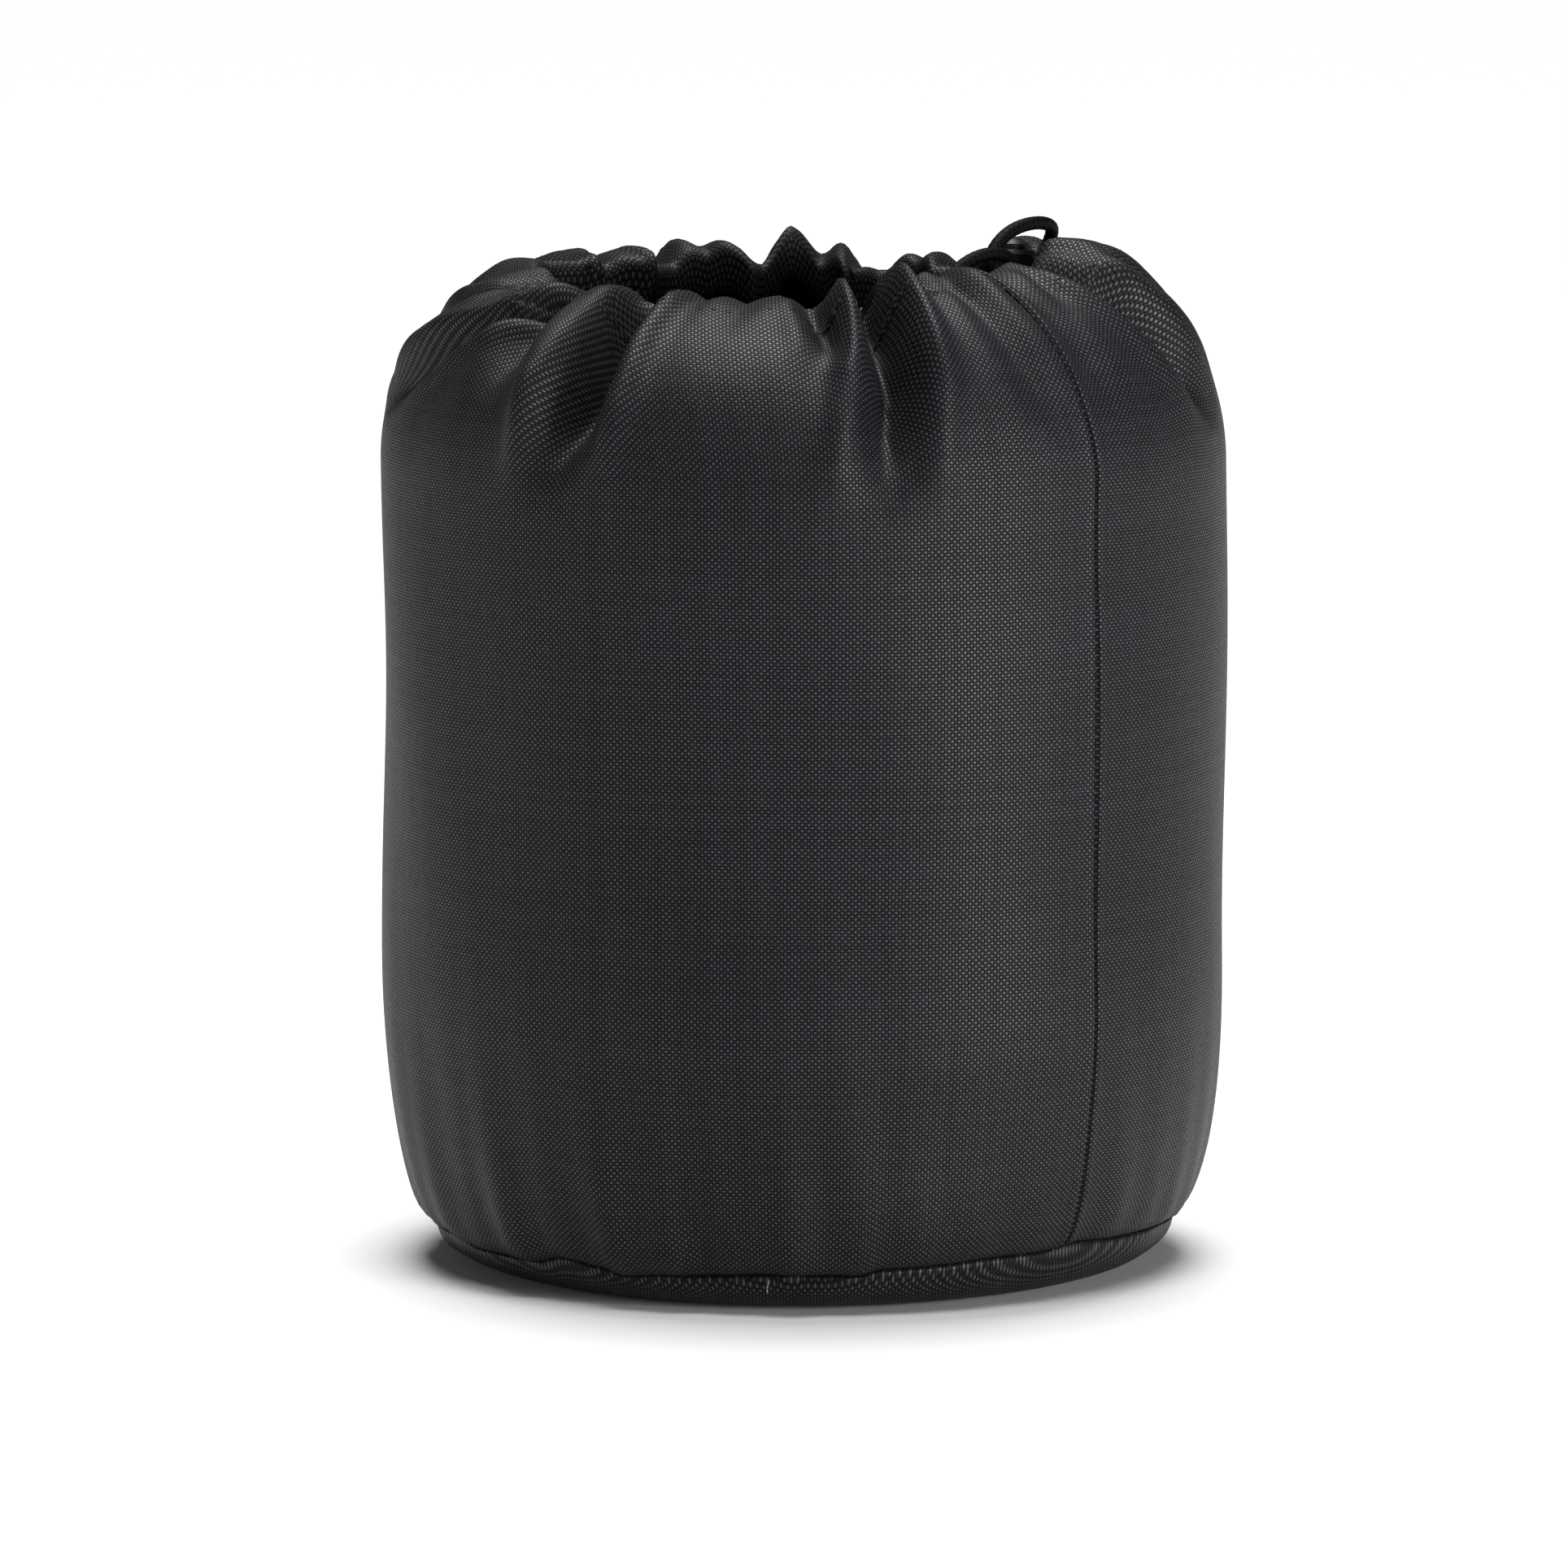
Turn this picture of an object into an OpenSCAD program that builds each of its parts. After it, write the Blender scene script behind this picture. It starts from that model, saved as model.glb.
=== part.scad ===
// Drawstring stuff sack at its filled shape: a tube of coated oxford cloth on a round base,
// gathered over a shoulder by a cord that runs in a hem and is held by a sprung cord lock.
// Millimetres, +Z up, front towards -Y, origin on the floor at the middle of the base.

/* [Sack] */
// Outer radius of the filled sack
body_r = 95; // [90:1:105]
// Height of the gathered rim above the floor
rim_z = 227; // [222:1:240]
// Radius of the gathered mouth, at the fold of the hem
mouth_r = 58; // [57:0.5:60]
// Height of the rounded shoulder
shoulder_h = 45; // [38:1:55]
// Thickness of the cloth
cloth_t = 0.8; // [0.6:0.1:1]

/* [Base] */
// Radius of the seam between side panel and base panel
base_seam_r = 84; // [80:1:86]
// Height of that seam above the floor
base_seam_z = 9; // [7:0.5:12]
// Radius of the flat part that stands on the floor
foot_r = 66; // [60:1:70]
// Height over which the side rounds in to the base seam
heel_h = 61; // [50:1:70]
// Width of the seam allowances inside the sack
allowance_w = 10; // [6:1:12]

/* [Hem] */
// Width of the hem, from its fold to its stitch line
hem_w = 14; // [12:1:16]
// Height of the tunnel that the cord runs in
tunnel_h = 5.2; // [5:0.1:6]
// Height of a cord exit
exit_h = 4.4; // [4:0.1:4.4]

/* [Drawcord] */
// Diameter of the drawcord
cord_d = 3; // [2.6:0.1:3]
// Diameter of the knot that joins the cord's ends
knot_d = 11; // [9:0.5:12]

/* [Cord lock] */
// Outer diameter of the barrel
barrel_d = 12.4; // [12.2:0.1:12.8]
// Diameter of the plunger
plunger_d = 8.8; // [8.6:0.1:9]
// How far the plunger can be pressed
plunger_travel = 2.9; // [2.5:0.1:3]
// Height of the plunger above the barrel
plunger_proud = 3.6; // [3.4:0.1:4]

/* [Hidden] */
$fn = 96;

arc_steps = 14;                       // facets along each quarter of an ellipse in a profile
heel_top = base_seam_z + heel_h;
shoulder_z = rim_z - shoulder_h;
fold_in = mouth_r - cloth_t;          // inner radius of the mouth
hem_floor = rim_z - tunnel_h - cloth_t;
thread_d = 0.8;
cord_r = cord_d / 2;

// Angles are turned from the front, -Y, towards the right, +X.
seam_angle = 42;
left_exit = [24, 38];
right_exit = [79, 93];
ring_r = 60.5;                        // the cord's circle in the hem
ring_z = 224.2;
ring_from = 97;                       // where the right end leaves the circle
ring_to = 20;                         // where the left end leaves it

// The lock stands a little back from upright on the two cord ends, which run through it side by side.
lock_at = [46, -17, 221.5];
lock_lean = 10;
slot_w = 7;                           // room for two cords side by side
slot_over = 1.7;                      // the slot's edge above the cords' middle
barrel_up = 7.6;                      // from the cords' middle to the barrel's top
barrel_down = 8.8;                    // and to its closed foot
barrel_floor = 1.2;
bore_clear = 0.2;                     // the bore's diameter less the plunger's
shaft_down = 2.9;                     // from the cords' middle to the plunger's foot
spring_wire = 0.4;
spring_d = 7.2;
spring_turns = 3;

// The cord's right end: out of the hem, up and over the lock, back through it and down inside the sack.
right_route = [
  [60.0, 7.4, 224.2], [60.4, 3.4, 224.2], [59.4, -0.6, 224.0], [57.0, -4.0, 223.9],
  [54.0, -6.8, 225.2], [53.8, -8.8, 228.8], [55.6, -11.6, 232.6], [55.8, -16.2, 235.2],
  [52.0, -21.4, 236.3], [46.8, -26.4, 235.3], [43.4, -30.4, 232.9], [41.0, -33.2, 229.4],
  [40.2, -33.4, 225.2], [41.2, -31.0, 221.8], [43.0, -27.2, 221.2], [44.2, -23.4, 222.2],
  [44.4, -17.0, 221.5], [44.4, -11.0, 220.4], [44.4, -5.0, 219.4], [44.4, 1.0, 218.3],
  [44.4, 5.6, 216.4], [44.4, 9.0, 212.6], [44.4, 11.0, 207.0], [44.4, 11.5, 198.0],
  [44.4, 11.5, 182.0], [44.4, 11.5, 166.0], [44.4, 11.5, 152.0], [44.4, 11.5, 141.0]
];
// The left end: out of the hem and along the inside of the rim to the lock.
left_route = [
  [20.7, -56.8, 224.2], [24.6, -55.4, 224.2], [28.0, -52.6, 224.2], [29.8, -48.9, 223.9],
  [31.6, -45.4, 225.0], [34.4, -42.4, 227.8], [38.4, -39.6, 230.0], [42.4, -36.2, 230.4],
  [45.6, -32.4, 229.2], [47.0, -29.2, 226.8], [47.5, -26.4, 224.4], [47.6, -23.6, 222.8],
  [47.6, -17.0, 221.5], [47.6, -11.0, 220.4], [47.6, -5.0, 219.4], [47.6, 1.0, 218.3],
  [47.6, 5.6, 216.4], [47.6, 9.0, 212.6], [47.6, 11.0, 207.0], [47.6, 11.5, 198.0],
  [47.6, 11.5, 182.0], [47.6, 11.5, 166.0], [47.6, 11.5, 152.0], [47.6, 11.5, 141.0]
];

function unit(v) = v / norm(v);

// Radius of the side panel's outer face at the height of each step, from the base seam up to the shoulder.
function heel(t) = [for (i = [0:arc_steps])
  let (a = 90 * i / arc_steps)
  [base_seam_r + (body_r - base_seam_r - t) * sin(a), heel_top - (heel_h - t) * cos(a)]];

// The shoulder, from the top of the upright side in to the mouth.
function shoulder(t) = [for (i = [0:arc_steps])
  let (a = 90 * i / arc_steps)
  [mouth_r + (body_r - mouth_r - t) * cos(a), shoulder_z + (shoulder_h - t) * sin(a)]];

function side_profile(t) = concat(heel(t), shoulder(t));

// Height of the outer face of the shoulder at a radius.
function shoulder_top(r) =
  shoulder_z + shoulder_h * sqrt(1 - pow((r - mouth_r) / (body_r - mouth_r), 2));

// The base panel's outer face, from the seam down to the floor.
function dish(t) = [for (i = [0:arc_steps])
  let (a = 90 * i / arc_steps)
  [foot_r + (base_seam_r - foot_r - t) * cos(a), base_seam_z - (base_seam_z - t) * sin(a)]];

// A band between two depths under the side panel's outer face, for what is laid on it or under it.
function side_band(outer, inner) =
  let (near = side_profile(outer), far = side_profile(inner))
  concat(near, [for (i = [len(far) - 1:-1:0]) far[i]]);

module turned(from = 0, to = 360) {
  rotate([0, 0, from - 90])
    rotate_extrude(angle = to - from)
      children();
}

// What is left of the children below the hem's stitches.
module below_hem(gap) {
  difference() {
    children();
    translate([0, 0, shoulder_z])
      cylinder(r = mouth_r + hem_w + gap, h = shoulder_h + 1);
  }
}

module side_panel() {
  color("#333438")
    turned()
      polygon(side_band(0, cloth_t));
}

module base_panel() {
  near = dish(0);
  far = dish(cloth_t);
  color("#2a2b2f")
    turned()
      polygon(concat(near, [[0, 0], [0, cloth_t]], [for (i = [len(far) - 1:-1:0]) far[i]]));
}

// The inner layer of the hem: down from the fold of the rim, then out under the shoulder to its stitches.
module channel_hem() {
  color("#303135")
    difference() {
      turned()
        polygon([
          [fold_in, hem_floor], [mouth_r + hem_w + 1.5, hem_floor],
          [mouth_r + hem_w + 1.5, hem_floor + cloth_t], [mouth_r, hem_floor + cloth_t],
          [mouth_r, rim_z], [fold_in, rim_z]
        ]);
      for (exit = [left_exit, right_exit])
        turned(exit[0], exit[1])
          translate([fold_in - 1, hem_floor + cloth_t])
            square([cloth_t + 2, exit_h]);
    }
}

module side_seam_thread() {
  color("#141416")
    below_hem(1)
      turned(seam_angle, seam_angle + 0.5)
        difference() {
          polygon(side_band(-0.5, -0.05));
          square([body_r, base_seam_z + 0.5]);
        }
}

module side_seam_allowance() {
  width = 6;                          // degrees of the sack that the two raw edges cover
  color("#26272a")
    below_hem(3)
      turned(seam_angle, seam_angle + width)
        polygon(side_band(cloth_t + 0.05, 3 * cloth_t));
}

module base_seam_thread() {
  color("#141416")
    turned()
      translate([base_seam_r + 0.45, base_seam_z - 0.42])
        circle(d = thread_d);
}

module base_seam_allowance() {
  color("#26272a")
    turned()
      translate([base_seam_r - allowance_w, base_seam_z])
        square([allowance_w, 2 * cloth_t]);
}

module hem_stitch_thread() {
  r = mouth_r + hem_w;
  color("#141416")
    turned()
      translate([r, shoulder_top(r) + 0.55])
        circle(d = thread_d);
}

// Thread sewn round each cord exit, standing on the inner face of the mouth.
module exit_buttonholes() {
  rim = 1;
  gap = 0.05;
  color("#1b1b1d")
    for (exit = [left_exit, right_exit])
      difference() {
        turned(exit[0] - 1, exit[1] + 1)
          translate([fold_in - thread_d - gap, hem_floor])
            square([thread_d, exit_h + cloth_t + rim]);
        turned(exit[0], exit[1])
          translate([fold_in - thread_d - 1, hem_floor + cloth_t])
            square([thread_d + 2, exit_h]);
      }
}

module drawcord_in_hem() {
  color("#0c0c0d")
    turned(ring_from, 360 + ring_to)
      translate([ring_r, ring_z])
        circle(d = cord_d);
}

// A tube along points, one ring at each point.
module tube(points, r, sides = 8) {
  last = len(points) - 1;
  along = [for (i = [0:last]) unit(points[min(i + 1, last)] - points[max(i - 1, 0)])];
  across = carried(along, 0, [0.1, 0.2, 1]);
  rings = [for (i = [0:last]) for (k = [0:sides - 1])
    let (a = 360 * k / sides, n = across[i], b = cross(along[i], n))
    points[i] + r * (cos(a) * n + sin(a) * b)];
  walls = [for (i = [0:last - 1]) for (k = [0:sides - 1])
    let (j = (k + 1) % sides)
    [i * sides + k, (i + 1) * sides + k, (i + 1) * sides + j, i * sides + j]];
  foot = [for (k = [0:sides - 1]) k];
  head = [for (k = [sides - 1:-1:0]) last * sides + k];
  polyhedron(rings, concat(walls, [foot, head]));
}

// Directions square to a line, each turned as little as possible from the one before it.
function carried(along, i, n) =
  let (m = unit(n - (n * along[i]) * along[i]))
  i == len(along) - 1 ? [m] : concat([m], carried(along, i + 1, m));

module drawcord_right_end() {
  color("#0c0c0d") tube(right_route, cord_r);
}

module drawcord_left_end() {
  color("#0c0c0d") tube(left_route, cord_r);
}

module drawcord_knot() {
  color("#0c0c0d")
    translate([46, 11.5, 141.5 - knot_d / 2])
      sphere(d = knot_d);
}

// The lock's own frame: the cords run along +Y, the plunger points along +Z.
module at_lock() {
  translate(lock_at) rotate([-lock_lean, 0, 0]) children();
}

// The hole for the cords, seen along them, with its low and high edge.
module cord_slot(low, high) {
  corner = 1.2;
  length = barrel_d + 2;
  for (x = [-1, 1], z = [low + corner, high - corner])
    translate([x * (slot_w / 2 - corner), 0, z])
      rotate([90, 0, 0])
        cylinder(r = corner, h = length, center = true);
  translate([-slot_w / 2, -length / 2, low + corner])
    cube([slot_w, length, high - low - 2 * corner]);
  translate([-slot_w / 2 + corner, -length / 2, low])
    cube([slot_w - 2 * corner, length, high - low]);
}

module cord_lock_barrel() {
  grips = 14;
  edge = 1;
  color("#101011")
    at_lock()
      difference() {
        rotate_extrude()
          polygon([
            [0, -barrel_down], [barrel_d / 2 - edge, -barrel_down],
            [barrel_d / 2, edge - barrel_down], [barrel_d / 2, barrel_up - edge],
            [barrel_d / 2 - edge / 2, barrel_up], [0, barrel_up]
          ]);
        translate([0, 0, barrel_floor - barrel_down])
          cylinder(d = plunger_d + bore_clear, h = barrel_down + barrel_up);
        cord_slot(-slot_over - plunger_travel, slot_over);
        for (i = [0:grips - 1])
          rotate([0, 0, (i + 0.5) * 360 / grips])
            translate([barrel_d / 2 + 0.2, 0, 1.6 - barrel_down])
              cylinder(d = 1, h = 2.2, $fn = 24);
      }
}

module cord_lock_plunger() {
  crown = 2.2;                        // height of the domed end
  crown_r = (pow(plunger_d / 2, 2) + pow(crown, 2)) / (2 * crown);
  top = barrel_up + plunger_proud;
  color("#151516")
    at_lock()
      difference() {
        intersection() {
          translate([0, 0, -shaft_down])
            cylinder(d = plunger_d, h = top + shaft_down);
          translate([0, 0, top - crown_r])
            sphere(r = crown_r);
        }
        cord_slot(-slot_over, slot_over + plunger_travel);
      }
}

module cord_lock_spring() {
  low = barrel_floor - barrel_down + spring_wire / 2;
  high = -shaft_down - spring_wire / 2;
  steps = 16;
  r = (spring_d - spring_wire) / 2;
  coil = [for (i = [0:spring_turns * steps])
    let (a = 360 * i / steps)
    [r * cos(a), r * sin(a), low + (high - low) * i / (spring_turns * steps)]];
  color("silver")
    at_lock() tube(coil, spring_wire / 2 - 0.01, 6);
}

side_panel();
base_panel();
channel_hem();
side_seam_thread();
side_seam_allowance();
base_seam_thread();
base_seam_allowance();
hem_stitch_thread();
exit_buttonholes();
drawcord_in_hem();
drawcord_right_end();
drawcord_left_end();
drawcord_knot();
cord_lock_barrel();
cord_lock_plunger();
cord_lock_spring();
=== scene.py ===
"""A drawstring stuff sack of black oxford cloth, filled, cinched and standing on its round base."""
import math

import bpy
import numpy as np
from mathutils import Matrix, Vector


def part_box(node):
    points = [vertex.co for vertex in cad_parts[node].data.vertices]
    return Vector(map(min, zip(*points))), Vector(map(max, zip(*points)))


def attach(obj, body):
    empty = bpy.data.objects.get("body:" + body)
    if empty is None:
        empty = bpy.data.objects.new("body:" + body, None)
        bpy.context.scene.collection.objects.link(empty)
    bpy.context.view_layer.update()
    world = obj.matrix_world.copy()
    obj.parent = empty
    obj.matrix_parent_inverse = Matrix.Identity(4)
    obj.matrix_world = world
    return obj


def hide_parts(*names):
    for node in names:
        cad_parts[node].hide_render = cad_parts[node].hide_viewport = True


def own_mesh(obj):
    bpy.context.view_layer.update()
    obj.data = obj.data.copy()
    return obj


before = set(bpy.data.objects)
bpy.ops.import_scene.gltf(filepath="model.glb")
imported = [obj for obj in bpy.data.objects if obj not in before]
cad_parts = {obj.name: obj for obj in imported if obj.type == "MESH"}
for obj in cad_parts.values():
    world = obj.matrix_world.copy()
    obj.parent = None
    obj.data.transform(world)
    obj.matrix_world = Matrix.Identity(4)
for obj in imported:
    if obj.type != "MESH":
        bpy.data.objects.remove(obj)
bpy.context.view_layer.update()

MM = 0.001

# Sizes in millimetres, from the frame.
PANEL_HIGH = np.array(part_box("side_panel")[1]) / MM
BASE_HIGH = np.array(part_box("base_panel")[1]) / MM
BODY_R = PANEL_HIGH[1]
RIM_Z = PANEL_HIGH[2]
BASE_SEAM_R = BASE_HIGH[1]
BASE_SEAM_Z = BASE_HIGH[2]
MOUTH_R = 58.0
SHOULDER_H = 45.0
HEEL_H = 61.0
FOOT_R = 66.0
HEM_W = 14.0
CLOTH_T = 0.45
CORD_R = 1.5

# Angles are turned from the front, -Y, towards the right, +X.
SEAM_ANGLE = 42.25
LEFT_EXIT = (24, 38)
RIGHT_EXIT = (79, 93)
RING_FROM, RING_TO = 97, 380
RING_R, RING_Z = 60.5, 224.2
TUNNEL_R = 2.65
HEM_BELOW = 1.5  # how far below the rim the hem follows the gathered cloth
ALLOWANCE_T = 0.8
TUCKED_IN = (1.4, 0.7)  # how far the side's lowest rows reach in past the base seam

# One thread of the weave round the sack and up it, in metres.
WEAVE_ROUND = 0.000745
WEAVE_UP = 0.00069
# A tube's rounded end: (how far out, how wide) of each ring, in radii.
TUBE_END = [(-0.55, 0.62), (-0.95, 0.25)]


# ---------------------------------------------------------------- camera, floor and light

def add_camera():
    data = bpy.data.cameras.new("camera")
    data.lens = 225
    data.sensor_width = 36
    data.clip_end = 200
    camera = bpy.data.objects.new("camera", data)
    camera.location = (-0.0044, -2.2, 0.385)
    camera.rotation_euler = (math.radians(90 - 7.19), 0, 0)
    bpy.context.scene.collection.objects.link(camera)
    bpy.context.scene.camera = camera


def add_softbox(name, turn, height, distance, width, tall, power):
    """A soft light that faces the sack, turned round it from the front towards the right."""
    data = bpy.data.lights.new(name, "AREA")
    data.shape = "RECTANGLE"
    data.size = width
    data.size_y = tall
    data.energy = power
    light = bpy.data.objects.new(name, data)
    a = math.radians(turn)
    light.location = (distance * math.sin(a), -distance * math.cos(a), height)
    aim = -np.array(light.location) + np.array((0, 0, 0.12))
    flat = math.hypot(aim[0], aim[1])
    light.rotation_euler = (math.atan2(flat, -aim[2]), 0, math.atan2(-aim[0], aim[1]))
    bpy.context.scene.collection.objects.link(light)


def add_studio():
    bpy.ops.mesh.primitive_plane_add(size=60, location=(0, 0, -0.0001))
    floor = bpy.context.object
    floor.name = "studio_floor"
    floor.data.transform(floor.matrix_world)
    floor.matrix_world.identity()
    floor.data.materials.append(plain("studio_white", (0.72, 0.72, 0.724), 0.9))
    world = bpy.data.worlds.new("studio")
    world.use_nodes = True
    sky = world.node_tree.nodes["Background"]
    sky.inputs["Color"].default_value = (1.0, 1.0, 1.01, 1)
    sky.inputs["Strength"].default_value = 0.08
    bpy.context.scene.world = world
    bpy.context.scene.view_settings.view_transform = "Standard"
    add_softbox("right_softbox", 48, 0.22, 1.3, 0.4, 0.4, 15)
    add_softbox("left_softbox", -80, 0.22, 1.3, 0.3, 0.4, 2.0)
    add_softbox("front_overhead", 4, 1.7, 0.8, 1.0, 0.5, 20)
    data = bpy.data.lights.new("overhead", "SUN")
    data.energy = 4.35
    data.angle = math.radians(34)
    overhead = bpy.data.objects.new("overhead", data)
    overhead.rotation_euler = (math.radians(-12), 0, 0)
    bpy.context.scene.collection.objects.link(overhead)


# ---------------------------------------------------------------- materials

class Nodes:
    """A material's node tree, with short names for adding and joining nodes."""

    def __init__(self, name):
        self.material = bpy.data.materials.new(name)
        self.material.use_nodes = True
        self.tree = self.material.node_tree
        self.shader = self.tree.nodes["Principled BSDF"]
        self.shader.distribution = "GGX"

    def add(self, kind, **settings):
        node = self.tree.nodes.new(kind)
        for key, value in settings.items():
            setattr(node, key, value)
        return node

    def join(self, source, target):
        self.tree.links.new(source, target)

    def maths(self, operation, *values):
        node = self.add("ShaderNodeMath", operation=operation)
        for slot, value in zip(node.inputs, values):
            if isinstance(value, (int, float)):
                slot.default_value = value
            else:
                self.join(value, slot)
        return node.outputs[0]

    def ramp(self, value, low, high, to_low=0.0, to_high=1.0):
        node = self.add("ShaderNodeMapRange", interpolation_type="SMOOTHSTEP")
        self.join(value, node.inputs["Value"])
        for slot, number in zip(list(node.inputs)[1:5], (low, high, to_low, to_high)):
            slot.default_value = number
        return node.outputs[0]

    def noise(self, coordinates, scale, detail=3.0, rough=0.55):
        node = self.add("ShaderNodeTexNoise")
        self.join(coordinates, node.inputs["Vector"])
        node.inputs["Scale"].default_value = scale
        node.inputs["Detail"].default_value = detail
        node.inputs["Roughness"].default_value = rough
        return node.outputs["Fac"]

    def blend(self, factor, first, second):
        node = self.add("ShaderNodeMix", data_type="RGBA")
        self.join(factor, node.inputs[0])
        for slot, colour in ((node.inputs[6], first), (node.inputs[7], second)):
            if isinstance(colour, tuple):
                slot.default_value = (*colour, 1)
            else:
                self.join(colour, slot)
        return node.outputs[2]

    def bump(self, height, distance, strength=1.0, under=None):
        node = self.add("ShaderNodeBump")
        node.inputs["Strength"].default_value = strength
        node.inputs["Distance"].default_value = distance
        self.join(height, node.inputs["Height"])
        if under is not None:
            self.join(under, node.inputs["Normal"])
        return node.outputs["Normal"]

    def finish(self, **sockets):
        for name, value in sockets.items():
            slot = self.shader.inputs[name.replace("_", " ")]
            if isinstance(value, (int, float)):
                slot.default_value = value
            else:
                self.join(value, slot)
        return self.material


def plain(name, colour, roughness):
    n = Nodes(name)
    n.shader.inputs["Base Color"].default_value = (*colour, 1)
    return n.finish(Roughness=roughness)


def woven(name, dark, light, sheen=0.0, relief=0.0001):
    """Plain weave over the piece's own map, which is in metres along and across the threads. The thread
    crowns are painted lighter as a painted highlight, and the ground between the threads is near black as
    painted shade.
    """
    n = Nodes(name)
    uv = n.add("ShaderNodeUVMap").outputs[0]
    part = n.add("ShaderNodeSeparateXYZ")
    n.join(uv, part.inputs[0])
    place = n.add("ShaderNodeTexCoord").outputs["Object"]
    wander = n.noise(place, 160, 2.0)
    across = n.maths("MULTIPLY_ADD", wander, 0.5, n.maths("DIVIDE", part.outputs[0], WEAVE_ROUND))
    along = n.maths("MULTIPLY_ADD", wander, 0.4, n.maths("DIVIDE", part.outputs[1], WEAVE_UP))
    wave = n.maths(
        "MULTIPLY",
        n.maths("SINE", n.maths("MULTIPLY", across, math.pi)),
        n.maths("SINE", n.maths("MULTIPLY", along, math.pi)),
    )
    cells = n.add("ShaderNodeCombineXYZ")
    n.join(n.maths("FLOOR", across), cells.inputs[0])
    n.join(n.maths("FLOOR", along), cells.inputs[1])
    slub = n.add("ShaderNodeTexWhiteNoise", noise_dimensions="2D")
    n.join(cells.outputs[0], slub.inputs[0])
    column = n.add("ShaderNodeTexWhiteNoise", noise_dimensions="1D")
    n.join(n.maths("FLOOR", across), column.inputs["W"])
    row = n.add("ShaderNodeTexWhiteNoise", noise_dimensions="1D")
    n.join(n.maths("FLOOR", along), row.inputs["W"])
    patchy = n.noise(place, 14, 4.0, 0.6)
    # painted highlight: the crowns of the weft and warp threads are painted lighter; painted shade: the
    # ground between them keeps the dark colour. The thread-to-thread tone in level is the cloth's own.
    weft_crown_highlight = n.ramp(wave, 0.05, 0.75)
    level = n.maths("MULTIPLY_ADD", slub.outputs["Value"], 0.3, 0.7)
    level = n.maths("MULTIPLY", level, n.maths("MULTIPLY_ADD", column.outputs["Value"], 0.25, 0.88))
    level = n.maths("MULTIPLY", level, n.maths("MULTIPLY_ADD", row.outputs["Value"], 0.25, 0.88))
    level = n.maths("MULTIPLY", level, n.ramp(patchy, 0.3, 0.7, 0.88, 1.12))
    warp_crown_highlight = n.ramp(n.maths("MULTIPLY", wave, -1.0), 0.2, 0.9, 0.0, 0.22)
    shade = n.maths("MULTIPLY", n.maths("MAXIMUM", weft_crown_highlight, warp_crown_highlight), level)
    colour = n.blend(shade, dark, light)
    height = n.maths("POWER", n.maths("ABSOLUTE", wave), 0.6)
    fine = n.noise(uv, 9000, 2.0)
    height = n.maths("MULTIPLY_ADD", fine, 0.18, height)
    creased = n.bump(n.noise(place, 90, 3.0), 0.0006, 0.35)
    rough = n.ramp(shade, 0.0, 0.8, 0.52, 0.40)
    gloss = n.ramp(shade, 0.0, 0.8, 0.09, 0.30)
    n.shader.inputs["Sheen Weight"].default_value = sheen
    return n.finish(
        Base_Color=colour, Roughness=rough, Specular_IOR_Level=gloss,
        Normal=n.bump(height, relief, 0.7, creased),
    )


def twisted_thread(name, dark, light, pitch=0.0009):
    """Sewing thread: fine slanting plies over the piece's own map."""
    n = Nodes(name)
    part = n.add("ShaderNodeSeparateXYZ")
    n.join(n.add("ShaderNodeUVMap").outputs[0], part.inputs[0])
    turns = n.maths("DIVIDE", part.outputs[1], pitch)
    slant = n.maths("ADD", turns, n.maths("MULTIPLY", part.outputs[0], 600.0))
    ply = n.maths("SINE", n.maths("MULTIPLY", slant, 2 * math.pi))
    colour = n.blend(n.ramp(ply, -0.6, 0.9), dark, light)
    n.shader.inputs["Specular IOR Level"].default_value = 0.1
    return n.finish(Base_Color=colour, Roughness=0.6, Normal=n.bump(ply, 0.00006, 0.8))


def braid(name):
    """Smooth round braid: each plait is a little paler along its crown, with fine filaments."""
    n = Nodes(name)
    part = n.add("ShaderNodeSeparateXYZ")
    n.join(n.add("ShaderNodeUVMap").outputs[0], part.inputs[0])
    around = n.maths("MULTIPLY", part.outputs[0], 4 * 2 * math.pi / (2 * math.pi * CORD_R * MM))
    along = n.maths("MULTIPLY", part.outputs[1], math.pi / 0.0016)
    first = n.maths("SINE", n.maths("ADD", around, along))
    second = n.maths("SINE", n.maths("SUBTRACT", around, along))
    plait = n.maths("ABSOLUTE", n.maths("MULTIPLY", first, second))
    filament = n.maths("SINE", n.maths("MULTIPLY", n.maths("ADD", around, along), 7.0))
    height = n.maths("MULTIPLY_ADD", filament, 0.12, plait)
    colour = n.blend(n.ramp(plait, 0.1, 1.0), (0.0004, 0.0004, 0.0005), (0.0022, 0.0022, 0.0025))
    n.shader.inputs["Specular IOR Level"].default_value = 0.06
    return n.finish(Base_Color=colour, Roughness=0.55, Normal=n.bump(height, 0.0001, 0.6))


def moulded_plastic(name):
    n = Nodes(name)
    place = n.add("ShaderNodeTexCoord").outputs["Object"]
    grain = n.noise(place, 5200, 2.0)
    smears = n.noise(place, 260, 3.0)
    colour = n.blend(n.ramp(smears, 0.3, 0.75), (0.0012, 0.0012, 0.0014), (0.004, 0.004, 0.0045))
    n.shader.inputs["Specular IOR Level"].default_value = 0.22
    return n.finish(
        Base_Color=colour,
        Roughness=n.ramp(smears, 0.2, 0.8, 0.36, 0.52),
        Normal=n.bump(grain, 0.00004, 0.5),
    )


def spring_steel(name):
    n = Nodes(name)
    place = n.add("ShaderNodeTexCoord").outputs["Object"]
    draw = n.noise(place, 3000, 2.0)
    colour = n.blend(draw, (0.50, 0.50, 0.51), (0.68, 0.68, 0.69))
    n.shader.inputs["Metallic"].default_value = 1.0
    return n.finish(Base_Color=colour, Roughness=n.ramp(draw, 0.2, 0.8, 0.22, 0.4))


# ---------------------------------------------------------------- meshes

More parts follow.
